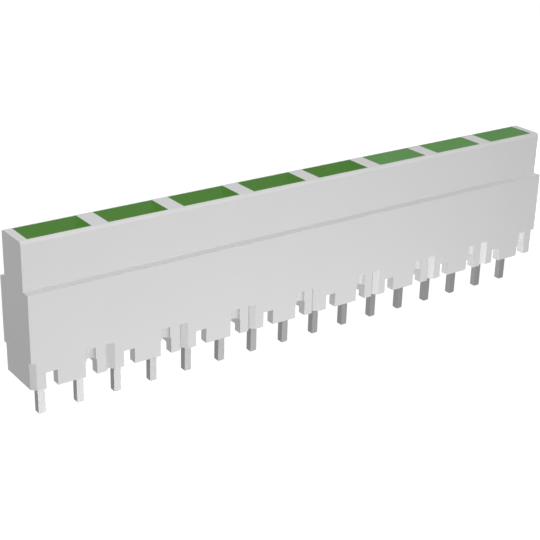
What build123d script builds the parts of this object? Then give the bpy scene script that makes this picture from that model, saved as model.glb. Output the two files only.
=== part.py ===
from build123d import *
import os

# LED bar graph: eight flush rectangular segments in a row on one moulded housing.
# Millimetres. +X runs along the row, +Z points out of the windows, and -Y is the
# side with the flutes. The origin is the middle of the housing in its seating
# plane, the plane of the feet on the circuit board. The leads reach below it.

# The row. Every segment stands on two leads of a tenth-inch grid.
segment_count = 8
lead_pitch = 2.54
segment_pitch = 2 * lead_pitch
# Each end stops short of the grid line, so that housings stand end to end.
end_clearance = 0.01
body_length = segment_count * segment_pitch - 2 * end_clearance

# Stepped outline of the housing across the row.
upper_width = 2.44
upper_height = 3.0
lower_width = 3.6
ledge_height = 6.0
top_edge_radius = 0.22
body_height = ledge_height + upper_height

# Window of each segment: straight below the top, then tapered as a reflector.
rim_wall = 0.26
segment_gap = 1.08
window_land = 1.5
window_length = segment_pitch - segment_gap
window_width = upper_width - 2 * rim_wall

# Cavity under each reflector, open towards the board.
skirt_wall = 0.6
partition_wall = 0.7
deck_thickness = 0.8
cavity_length = segment_pitch - partition_wall
cavity_width = lower_width - 2 * skirt_wall
cavity_height = ledge_height - deck_thickness

# Reliefs in the skirt: a V-groove between segments, a notch beside each lead and
# a half-round flute above the notch of each cathode.
relief_height = 1.75
groove_width = 0.6
notch_width = 0.74
notch_height = 1.0
flute_radius = 0.3

# Leads, stamped from one sheet: a square pin, an anchor in the resin and an arm
# that ends in the chip's pad or in the wire's post.
lead_width = 0.46
lead_thickness = 0.46
lead_length = 2.54
lead_tip_chamfer = 0.08
anchor_width = 0.9
anchor_cover = 0.5
arm_height = 0.7
arm_cover = 0.4
pad_width = 0.7
pad_rise = 0.4
electrode_gap = 0.25
post_width = 0.4
lead_offset = lead_pitch / 2

# Light-emitting chip, with a gold wire from its ball bond to the anode's post. The
# wire is finer than a hair, so flats all round it stand for its round section.
chip_width = 0.3
chip_height = 0.25
wire_diameter = 0.03
wire_flat_count = 12
neck_height = 0.3
knee_length = 0.12
knee_rise = 0.06
bond_diameter = 0.09
bond_height = 0.02

# Resin casting: flush in the window, its lower surface above the board.
casting_recess = 1.7

# Opening in the deck, with room for both electrodes.
throat_end_gap = 0.2
throat_side_gap = 0.27
post_inner = pad_width / 2 + electrode_gap
post_outer = post_inner + post_width
post_centre = (post_inner + post_outer) / 2
throat_length = 2 * (post_outer + throat_end_gap)
throat_width = lead_thickness + 2 * throat_side_gap

# Heights of the electrodes.
anchor_bottom = casting_recess + anchor_cover
arm_top = cavity_height - arm_cover
arm_bottom = arm_top - arm_height
pad_top = cavity_height + pad_rise
post_top = pad_top + chip_height


def segment_centres():
    """X of the middle of each segment, from -X to +X."""
    first = -(segment_count - 1) / 2 * segment_pitch
    return [first + index * segment_pitch for index in range(segment_count)]


def grid_lines():
    """X of every line between two segments and of both end lines."""
    first = -segment_count / 2 * segment_pitch
    return [first + index * segment_pitch for index in range(segment_count + 1)]


def standing_box(length, width, bottom, top):
    """A box centred in X and Y between two heights."""
    return Pos(0, 0, bottom) * extrude(Rectangle(length, width), top - bottom)


def tapered_side(plane, throat, window):
    """Outline of the light path seen from one side: a straight window over a taper."""
    land_bottom = body_height - window_land
    outline = Polyline(
        (-throat / 2, cavity_height),
        (throat / 2, cavity_height),
        (window / 2, land_bottom),
        (window / 2, body_height),
        (-window / 2, body_height),
        (-window / 2, land_bottom),
        close=True,
    )
    return make_face(plane * outline)


def light_path():
    """Space from the deck to the top: the reflector and window, tapered both ways."""
    along = tapered_side(Plane.XZ, throat_length, window_length)
    across = tapered_side(Plane.YZ, throat_width, window_width)
    return extrude(along, window_width, both=True) & extrude(across, window_length, both=True)


def groove_cutter():
    """Upright V-groove in both long sides, drawn from above and raised from the feet."""
    side = lower_width / 2
    half = groove_width / 2
    front = make_face(Polyline((-half, -side), (0, half - side), (half, -side), close=True))
    back = mirror(front, Plane.XZ)
    return extrude(front + back, relief_height)


def notch_cutter():
    """Slot across both skirt walls beside each of a segment's two leads."""
    slot = standing_box(notch_width, lower_width, 0, notch_height)
    return Pos(-lead_offset, 0, 0) * slot + Pos(lead_offset, 0, 0) * slot


def flute_cutter():
    """Half-round upright channel in the front side, in line with the cathode lead."""
    channel = Pos(lead_offset, -lower_width / 2, 0) * Circle(flute_radius)
    return extrude(channel, relief_height)


def make_housing():
    """Stepped moulding with its windows, cavities, partitions and skirt reliefs."""
    low = lower_width / 2
    high = upper_width / 2
    outline = Polyline(
        (-low, 0),
        (low, 0),
        (low, ledge_height),
        (high, ledge_height),
        (high, body_height),
        (-high, body_height),
        (-high, ledge_height),
        (-low, ledge_height),
        close=True,
    )
    body = extrude(make_face(Plane.YZ * outline), body_length / 2, both=True)
    top_edges = body.edges().filter_by(Axis.X).group_by(Axis.Z)[-1]
    body = fillet(top_edges, top_edge_radius)
    cavity = standing_box(cavity_length, cavity_width, 0, cavity_height)
    segment_cutter = cavity + light_path() + notch_cutter() + flute_cutter()
    for centre in segment_centres():
        body -= Pos(centre, 0, 0) * segment_cutter
    groove = groove_cutter()
    for line in grid_lines():
        body -= Pos(line, 0, 0) * groove
    return body


def stamped(points):
    """One lead from its outline in the XZ plane, with its four tip edges chamfered."""
    outline = make_face(Plane.XZ * Polyline(*points, close=True))
    lead = extrude(outline, lead_thickness / 2, both=True)
    tip = lead.faces().sort_by(Axis.Z)[0]
    return chamfer(tip.edges(), lead_tip_chamfer)


def make_cathode():
    """Lead on the +X side, with the pad that carries the chip over the middle."""
    return stamped([
        (lead_offset + lead_width / 2, -lead_length),
        (lead_offset + lead_width / 2, anchor_bottom),
        (lead_offset + anchor_width / 2, anchor_bottom),
        (lead_offset + anchor_width / 2, arm_top),
        (pad_width / 2, arm_top),
        (pad_width / 2, pad_top),
        (-pad_width / 2, pad_top),
        (-pad_width / 2, arm_bottom),
        (lead_offset - anchor_width / 2, arm_bottom),
        (lead_offset - anchor_width / 2, anchor_bottom),
        (lead_offset - lead_width / 2, anchor_bottom),
        (lead_offset - lead_width / 2, -lead_length),
    ])


def make_anode():
    """Lead on the -X side, with the post whose top is level with the chip."""
    return stamped([
        (-lead_offset + lead_width / 2, -lead_length),
        (-lead_offset + lead_width / 2, anchor_bottom),
        (-lead_offset + anchor_width / 2, anchor_bottom),
        (-lead_offset + anchor_width / 2, arm_bottom),
        (-post_inner, arm_bottom),
        (-post_inner, post_top),
        (-post_outer, post_top),
        (-post_outer, arm_top),
        (-lead_offset - anchor_width / 2, arm_top),
        (-lead_offset - anchor_width / 2, anchor_bottom),
        (-lead_offset - lead_width / 2, anchor_bottom),
        (-lead_offset - lead_width / 2, -lead_length),
    ])


def make_chip():
    """Square chip seated on the cathode's pad."""
    return standing_box(chip_width, chip_width, pad_top, post_top)


def make_wire():
    """Bond wire: up from the ball on the chip, over a knee and down to the post's top."""
    knee_start = post_top + neck_height
    knee_end = knee_start + knee_rise
    fall = (knee_end - post_top) / (post_centre - knee_length)
    overrun = wire_diameter
    route = Polyline(
        (0, 0, post_top),
        (0, 0, knee_start),
        (-knee_length, 0, knee_end),
        (-post_centre - overrun, 0, post_top - fall * overrun),
    )
    section = Pos(0, 0, post_top) * RegularPolygon(wire_diameter / 2, wire_flat_count)
    loop = sweep(section, path=route, transition=Transition.RIGHT)
    loop = split(loop, bisect_by=Plane((0, 0, post_top)), keep=Keep.TOP)
    ball = Pos(0, 0, post_top) * extrude(Circle(bond_diameter / 2), bond_height)
    return loop + ball


def make_casting(held):
    """Resin in one segment's light path and cavity, moulded round what it holds."""
    casting = standing_box(cavity_length, cavity_width, casting_recess, cavity_height)
    casting += light_path()
    for piece in held:
        casting -= piece
    return casting


def main():
    """Write one STEP file for each piece of the bar graph."""
    os.makedirs("parts", exist_ok=True)
    pieces = {
        "cathode_lead": make_cathode(),
        "anode_lead": make_anode(),
        "led_chip": make_chip(),
        "bond_wire": make_wire(),
    }
    pieces["resin_segment"] = make_casting(list(pieces.values()))
    export_step(make_housing(), "parts/housing.step")
    for number, centre in enumerate(segment_centres(), start=1):
        for name, piece in pieces.items():
            export_step(Pos(centre, 0, 0) * piece, f"parts/{name}_{number}.step")


main()
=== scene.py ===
from math import pi, radians

import bpy
import numpy as np
from mathutils import Matrix, Vector


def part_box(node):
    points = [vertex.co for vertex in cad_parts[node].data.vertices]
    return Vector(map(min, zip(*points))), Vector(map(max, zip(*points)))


bl_info = {
    "name": "LED Bar Graph",
    "version": (1, 0, 0),
    "blender": (4, 5, 0),
    "location": "3D View > Sidebar > Bar Graph",
    "description": "Finishes the moulded housing, resin windows and leads of an LED bar graph",
    "category": "Object",
}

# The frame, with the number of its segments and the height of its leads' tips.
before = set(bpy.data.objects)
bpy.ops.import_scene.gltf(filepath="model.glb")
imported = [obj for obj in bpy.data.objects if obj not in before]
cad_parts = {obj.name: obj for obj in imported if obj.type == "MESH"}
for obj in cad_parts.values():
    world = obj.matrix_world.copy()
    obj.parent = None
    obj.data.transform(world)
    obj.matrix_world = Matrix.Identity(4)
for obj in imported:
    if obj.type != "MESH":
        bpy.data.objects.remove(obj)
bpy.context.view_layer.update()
SEGMENTS = sum(1 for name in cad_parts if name.startswith("resin_segment_"))
LEAD_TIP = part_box("cathode_lead_1")[0].z
MM = 0.001

# Camera of the view: its place in millimetres, its turn from +Y towards +X, how far it
# looks down, its roll to the left, its lens, and the nearest and farthest that it sees.
CAMERA_PLACE = (-46.622, -60.487, 34.695)
CAMERA_TURN = radians(36.131)
CAMERA_DROP = radians(22.989)
CAMERA_ROLL = radians(1.665)
SENSOR_WIDTH = 36.0
FOCAL_LENGTH = 83.419
CLIP_NEAR = 1 * MM
CLIP_FAR = 10.0

# Node group that every finish shares: its inputs with their usual values, the detail of
# its two noises, and the cells of the drift in a metre. Then the strength of each bump.
GRAIN_GROUP = "Skin Grain"
GRAIN_INPUTS = {"Size": 0.1 * MM, "Drift": 0.02}
GRAIN_DETAIL = 3.0
DRIFT_DETAIL = 2.0
DRIFT_SCALE = 300.0
BUMP_STRENGTH = 0.3

BLACK = (0.0, 0.0, 0.0, 1.0)
WHITE = (1.0, 1.0, 1.0, 1.0)
# Strength of the white that the floor and the sky show.
BACKGROUND = 0.97
# The floor's own grey, how far it reaches each way and how far it lies under the leads.
FLOOR_GREY = (0.15, 0.15, 0.15, 1.0)
FLOOR_HALF = 2.0
FLOOR_GAP = 0.02 * MM

# Places of the lamps in millimetres, and the one lamp that casts a shadow.
LAMPS = {
    "key": (-194, -153, 23),
    "upper": (-161, 49, 93),
    "under": (-1, -3, -31),
    "top": (-5, -11, 118),
    "front": (-20, -80, 27),
    "glint": (3, -56, -27),
    "side": (47, 15, 3),
    "rear": (4, 60, -8),
}
SHADOW_LAMP = "top"
LAMP_RADIUS = 10 * MM
# A lamp's setting is the shade that it gives a face of this grey at this reach, and has
# this limit.
LAMP_GREY = 0.6
LAMP_REACH = 100 * MM
LAMP_LIMIT = 4.0


def size(default, name, text):
    """A size with its name and description, given in millimetres and kept in metres."""
    return bpy.props.FloatProperty(
        name=name, description=text, default=default * MM, min=0.0, precision=6,
        subtype="DISTANCE", unit="LENGTH",
    )


def share(default, name, text):
    """A share from 0 to 1 with its name and description."""
    return bpy.props.FloatProperty(
        name=name, description=text, default=default, min=0.0, max=1.0, subtype="FACTOR",
    )


def colour(default, name, text):
    """A linear colour with its name and description."""
    return bpy.props.FloatVectorProperty(
        name=name, description=text, default=default, size=3, min=0.0, max=1.0, subtype="COLOR",
    )


def lamp_shade(default, name, text):
    """The shade that a lamp gives, with the lamp's name and description."""
    return bpy.props.FloatProperty(
        name=name, description=text, default=default, min=0.0, max=LAMP_LIMIT,
    )


class HousingSettings(bpy.types.PropertyGroup):
    """Finish of the moulded housing."""

    tint: colour((0.637, 0.637, 0.637), "Plastic", "Colour of the moulded plastic")
    roughness: share(0.50, "Roughness", "Roughness of the moulded skin")
    specular: share(0.1, "Specular", "Strength of the skin's plain reflection")
    grain: size(0.09, "Grain", "Size of the mould's fine grain")
    depth: size(0.003, "Grain depth", "Depth of the mould's fine grain")
    drift: share(0.03, "Drift", "Share by which the shade drifts from place to place")


class ResinSettings(bpy.types.PropertyGroup):
    """Finish of the cast resin."""

    tint: colour((0.054, 0.200, 0.012), "Resin", "Colour of the tinted resin")
    # The segments at the high X end, pale_count of them, take this paler green in place of the tint.
    pale: colour((0.105, 0.286, 0.072), "Pale resin", "Colour of the paler batch of resin")
    pale_count: bpy.props.IntProperty(
        name="Pale segments", description="Segments of the paler batch, counted from the high X end",
        default=3, min=0,
    )
    cover: share(0.94, "Cover", "Share of the light that the tinted resin keeps back")
    roughness: share(0.25, "Roughness", "Roughness of the resin")
    specular: share(0.0, "Specular", "Strength of the resin's plain reflection")
    grain: size(0.6, "Ripple", "Size of the slight ripple on the resin")
    depth: size(0.002, "Ripple depth", "Depth of the ripple")
    drift: share(0.03, "Drift", "Share by which the shade drifts from place to place")


class LeadSettings(bpy.types.PropertyGroup):
    """Finish of the tinned leads, the chips and the wires."""

    tin: colour((0.247, 0.247, 0.247), "Tin", "Colour of the dull tin on the leads")
    tin_roughness: share(0.5, "Tin roughness", "Roughness of the tin")
    crystal: colour((0.35, 0.33, 0.20), "Crystal", "Colour of the chips")
    crystal_roughness: share(0.50, "Crystal roughness", "Roughness of the chips")
    gold: colour((0.90, 0.65, 0.25), "Gold", "Colour of the bond wires")
    gold_roughness: share(0.25, "Gold roughness", "Roughness of the bond wires")
    grain: size(0.1, "Grain", "Size of the plating's grain")
    depth: size(0.002, "Grain depth", "Depth of the plating's grain")
    drift: share(0.10, "Drift", "Share by which the shade drifts from place to place")


class StageSettings(bpy.types.PropertyGroup):
    """Strength of each lamp, as the shade that it gives a grey face at the lamps' reach."""

    key: lamp_shade(0.752, "Key lamp", "Lamp far to the front left")
    upper: lamp_shade(0.833, "Upper lamp", "Lamp high beyond the low X end")
    under: lamp_shade(0.043, "Under lamp", "Lamp low under the part")
    top: lamp_shade(0.463, "Top lamp", "Lamp high over the windows, the one that casts a shadow")
    front: lamp_shade(0.164, "Front lamp", "Lamp before the part")
    glint: lamp_shade(0.129, "Glint lamp", "Lamp low before the part that shines on the leads")
    side: lamp_shade(0.046, "Side lamp", "Lamp beyond the high X end")
    rear: lamp_shade(0.149, "Rear lamp", "Lamp that evens out the back")


def new_material(name):
    """A node material with its node tree and its Principled shader."""
    material = bpy.data.materials.new(name)
    material.use_nodes = True
    tree = material.node_tree
    return material, tree, tree.nodes["Principled BSDF"]


def dress(obj, material):
    """Give a piece or a node this one material."""
    obj.data.materials.clear()
    obj.data.materials.append(material)


def grain_group():
    """Node group with a fine grain for the bump and a slow drift for the shade.

    The height is noise at one cell per grain. The shade runs from 1 less the drift up
    to 1, along a noise of its own that is far coarser.
    """
    group = bpy.data.node_groups.new(GRAIN_GROUP, "ShaderNodeTree")
    for label, usual in GRAIN_INPUTS.items():
        socket = group.interface.new_socket(label, in_out="INPUT", socket_type="NodeSocketFloat")
        socket.default_value = usual
    for label in ("Height", "Shade"):
        group.interface.new_socket(label, in_out="OUTPUT", socket_type="NodeSocketFloat")
    nodes, links = group.nodes, group.links
    entry = nodes.new("NodeGroupInput")
    leave = nodes.new("NodeGroupOutput")
    place = nodes.new("ShaderNodeTexCoord")
    cells = nodes.new("ShaderNodeMath")
    cells.operation = "DIVIDE"
    cells.inputs[0].default_value = 1.0
    links.new(entry.outputs["Size"], cells.inputs[1])
    fine = nodes.new("ShaderNodeTexNoise")
    fine.inputs["Detail"].default_value = GRAIN_DETAIL
    links.new(place.outputs["Object"], fine.inputs["Vector"])
    links.new(cells.outputs[0], fine.inputs["Scale"])
    links.new(fine.outputs["Fac"], leave.inputs["Height"])
    slow = nodes.new("ShaderNodeTexNoise")
    slow.inputs["Scale"].default_value = DRIFT_SCALE
    slow.inputs["Detail"].default_value = DRIFT_DETAIL
    links.new(place.outputs["Object"], slow.inputs["Vector"])
    lowest = nodes.new("ShaderNodeMath")
    lowest.operation = "SUBTRACT"
    lowest.inputs[0].default_value = 1.0
    links.new(entry.outputs["Drift"], lowest.inputs[1])
    span = nodes.new("ShaderNodeMapRange")
    span.inputs["To Max"].default_value = 1.0
    links.new(slow.outputs["Fac"], span.inputs["Value"])
    links.new(lowest.outputs[0], span.inputs["To Min"])
    links.new(span.outputs["Result"], leave.inputs["Shade"])
    return group


def finish(name, tint, settings, plain):
    """Material of a finish: its tint under the grain's drift, its bump and its plain sockets."""
    material, tree, shader = new_material(name)
    grain = tree.nodes.new("ShaderNodeGroup")
    grain.node_tree = bpy.data.node_groups.get(GRAIN_GROUP) or grain_group()
    grain.inputs["Size"].default_value = settings.grain
    grain.inputs["Drift"].default_value = settings.drift
    shaded = tree.nodes.new("ShaderNodeMix")
    shaded.data_type = "RGBA"
    shaded.inputs["A"].default_value = BLACK
    shaded.inputs["B"].default_value = (*tint, 1.0)
    tree.links.new(grain.outputs["Shade"], shaded.inputs["Factor"])
    tree.links.new(shaded.outputs["Result"], shader.inputs["Base Color"])
    bump = tree.nodes.new("ShaderNodeBump")
    bump.inputs["Strength"].default_value = BUMP_STRENGTH
    bump.inputs["Distance"].default_value = settings.depth
    tree.links.new(grain.outputs["Height"], bump.inputs["Height"])
    tree.links.new(bump.outputs["Normal"], shader.inputs["Normal"])
    for label, value in plain.items():
        shader.inputs[label].default_value = value
    return material


class BARGRAPH_OT_housing(bpy.types.Operator):
    """Give the moulded housing its grained plastic skin"""

    bl_idname = "bargraph.housing"
    bl_label = "Housing"

    def execute(self, context):
        settings = context.scene.bar_graph_housing
        plastic = finish("moulded_plastic", settings.tint, settings, {
            "Roughness": settings.roughness,
            "Specular IOR Level": settings.specular,
        })
        dress(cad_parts["housing"], plastic)
        return {"FINISHED"}


class BARGRAPH_OT_resin(bpy.types.Operator):
    """Give the segments their tinted resin"""

    bl_idname = "bargraph.resin"
    bl_label = "Resin"

    def execute(self, context):
        settings = context.scene.bar_graph_resin
        plain = {
            "Roughness": settings.roughness,
            "Specular IOR Level": settings.specular,
            "Alpha": settings.cover,
        }
        green = finish("green_resin", settings.tint, settings, plain)
        pale = finish("pale_resin", settings.pale, settings, plain)
        # From first_pale on to the high X end the segments take the paler green.
        first_pale = SEGMENTS - settings.pale_count + 1
        for number in range(1, SEGMENTS + 1):
            tone = pale if number >= first_pale else green
            dress(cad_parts[f"resin_segment_{number}"], tone)
        return {"FINISHED"}


class BARGRAPH_OT_leads(bpy.types.Operator):
    """Give the leads their tin, and the chips and wires their crystal and gold"""

    bl_idname = "bargraph.leads"
    bl_label = "Leads"

    def execute(self, context):
        settings = context.scene.bar_graph_leads
        tin = finish("tinned_metal", settings.tin, settings, {
            "Roughness": settings.tin_roughness,
            "Metallic": 1.0,
        })
        crystal = finish("chip_crystal", settings.crystal, settings, {
            "Roughness": settings.crystal_roughness,
        })
        gold = finish("bond_gold", settings.gold, settings, {
            "Roughness": settings.gold_roughness,
            "Metallic": 1.0,
        })
        for number in range(1, SEGMENTS + 1):
            dress(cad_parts[f"cathode_lead_{number}"], tin)
            dress(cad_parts[f"anode_lead_{number}"], tin)
            dress(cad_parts[f"led_chip_{number}"], crystal)
            dress(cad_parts[f"bond_wire_{number}"], gold)
        return {"FINISHED"}


def seen_white(tree):
    """The background's strength, for rays that show it: from the camera, off gloss or through glass."""
    rays = tree.nodes.new("ShaderNodeLightPath")
    shown = rays.outputs["Is Camera Ray"]
    for label in ("Is Glossy Ray", "Is Transmission Ray"):
        either = tree.nodes.new("ShaderNodeMath")
        either.operation = "MAXIMUM"
        tree.links.new(shown, either.inputs[0])
        tree.links.new(rays.outputs[label], either.inputs[1])
        shown = either.outputs[0]
    strength = tree.nodes.new("ShaderNodeMath")
    strength.operation = "MULTIPLY"
    strength.inputs[1].default_value = BACKGROUND
    tree.links.new(shown, strength.inputs[0])
    return strength.outputs[0]


def place_camera(scene):
    """Camera at its place: rolled, then raised to look level and dropped, then turned."""
    eye = bpy.data.cameras.new("camera")
    eye.sensor_width = SENSOR_WIDTH
    eye.lens = FOCAL_LENGTH
    eye.clip_start = CLIP_NEAR
    eye.clip_end = CLIP_FAR
    camera = bpy.data.objects.new("camera", eye)
    scene.collection.objects.link(camera)
    roll = Matrix.Rotation(CAMERA_ROLL, 4, "Z")
    drop = Matrix.Rotation(pi / 2 - CAMERA_DROP, 4, "X")
    turn = Matrix.Rotation(-CAMERA_TURN, 4, "Z")
    camera.matrix_world = Matrix.Translation(Vector(CAMERA_PLACE) * MM) @ turn @ drop @ roll
    scene.camera = camera


def build_sky(scene):
    """World that is white where it is seen and gives no light of its own."""
    world = bpy.data.worlds.new("studio")
    scene.world = world
    world.use_nodes = True
    tree = world.node_tree
    tree.nodes.clear()
    output = tree.nodes.new("ShaderNodeOutputWorld")
    sky = tree.nodes.new("ShaderNodeBackground")
    sky.inputs["Color"].default_value = WHITE
    tree.links.new(seen_white(tree), sky.inputs["Strength"])
    tree.links.new(sky.outputs["Background"], output.inputs["Surface"])


def build_floor(scene):
    """Square floor just under the leads, white where it is seen apart from a faint soft shadow.

    Its corners lie half a side from the middle in X and in Y, all at one height.
    """
    corners = np.array([(-1, -1, 0), (1, -1, 0), (1, 1, 0), (-1, 1, 0)]) * FLOOR_HALF
    corners[:, 2] = LEAD_TIP - FLOOR_GAP
    mesh = bpy.data.meshes.new("floor")
    mesh.from_pydata(corners.tolist(), [], [(0, 1, 2, 3)])
    floor = bpy.data.objects.new("floor", mesh)
    scene.collection.objects.link(floor)
    material, tree, shader = new_material("pale_floor")
    shader.inputs["Base Color"].default_value = FLOOR_GREY
    shader.inputs["Roughness"].default_value = 1.0
    shader.inputs["Specular IOR Level"].default_value = 0.0
    shader.inputs["Emission Color"].default_value = WHITE
    tree.links.new(seen_white(tree), shader.inputs["Emission Strength"])
    dress(floor, material)


def hang_lamp(scene, name, place, shade):
    """Round soft lamp whose power gives a grey face at the lamps' reach this shade.

    A face of grey g turned to a lamp of power P at distance d shows g P / (2 pi d)^2.
    A lamp lights what it reaches and nothing by way of another face, so that the
    moulding's flat sides stay even up to their edges. Only one casts a shadow, because
    the low ones stand under the floor, which would hide them. A gloss ray would stop
    there too, so a lamp without a shadow is sampled from the lit face alone.
    """
    lamp = bpy.data.lights.new(name, "POINT")
    lamp.shadow_soft_size = LAMP_RADIUS
    lamp.energy = shade * (2 * pi * LAMP_REACH) ** 2 / LAMP_GREY
    lamp.cycles.max_bounces = 0
    lamp.use_shadow = name == SHADOW_LAMP
    lamp.cycles.use_multiple_importance_sampling = lamp.use_shadow
    holder = bpy.data.objects.new(name, lamp)
    scene.collection.objects.link(holder)
    holder.location = Vector(place) * MM


class BARGRAPH_OT_stage(bpy.types.Operator):
    """Set the camera, the pale floor and the soft lights"""

    bl_idname = "bargraph.stage"
    bl_label = "Stage"

    def execute(self, context):
        settings = context.scene.bar_graph_stage
        scene = context.scene
        scene.view_settings.view_transform = "Standard"
        place_camera(scene)
        build_sky(scene)
        build_floor(scene)
        for name, place in LAMPS.items():
            hang_lamp(scene, name, place, getattr(settings, name))
        return {"FINISHED"}


class BARGRAPH_PT_panel(bpy.types.Panel):
    """Steps that finish the bar graph"""

    bl_idname = "BARGRAPH_PT_panel"
    bl_label = "Bar Graph"
    bl_space_type = "VIEW_3D"
    bl_region_type = "UI"
    bl_category = "Bar Graph"

    def draw(self, context):
        for step, group in STEPS:
            box = self.layout.box()
            box.operator(step.bl_idname)
            settings = getattr(context.scene, group)
            for key in settings.bl_rna.properties.keys():
                if key not in ("rna_type", "name"):
                    box.prop(settings, key)


STEPS = (
    (BARGRAPH_OT_housing, "bar_graph_housing"),
    (BARGRAPH_OT_resin, "bar_graph_resin"),
    (BARGRAPH_OT_leads, "bar_graph_leads"),
    (BARGRAPH_OT_stage, "bar_graph_stage"),
)
GROUPS = {
    "bar_graph_housing": HousingSettings,
    "bar_graph_resin": ResinSettings,
    "bar_graph_leads": LeadSettings,
    "bar_graph_stage": StageSettings,
}


def register():
    """Register the settings, the operators and the panel."""
    for name, group in GROUPS.items():
        bpy.utils.register_class(group)
        setattr(bpy.types.Scene, name, bpy.props.PointerProperty(type=group))
    for step, _ in STEPS:
        bpy.utils.register_class(step)
    bpy.utils.register_class(BARGRAPH_PT_panel)


def unregister():
    """Remove what register added."""
    bpy.utils.unregister_class(BARGRAPH_PT_panel)
    for step, _ in reversed(STEPS):
        bpy.utils.unregister_class(step)
    for name, group in GROUPS.items():
        delattr(bpy.types.Scene, name)
        bpy.utils.unregister_class(group)


def main():
    """Run every step in order."""
    register()
    for step, _ in STEPS:
        area, verb = step.bl_idname.split(".")
        getattr(getattr(bpy.ops, area), verb)()


if __name__ == "__main__":
    main()
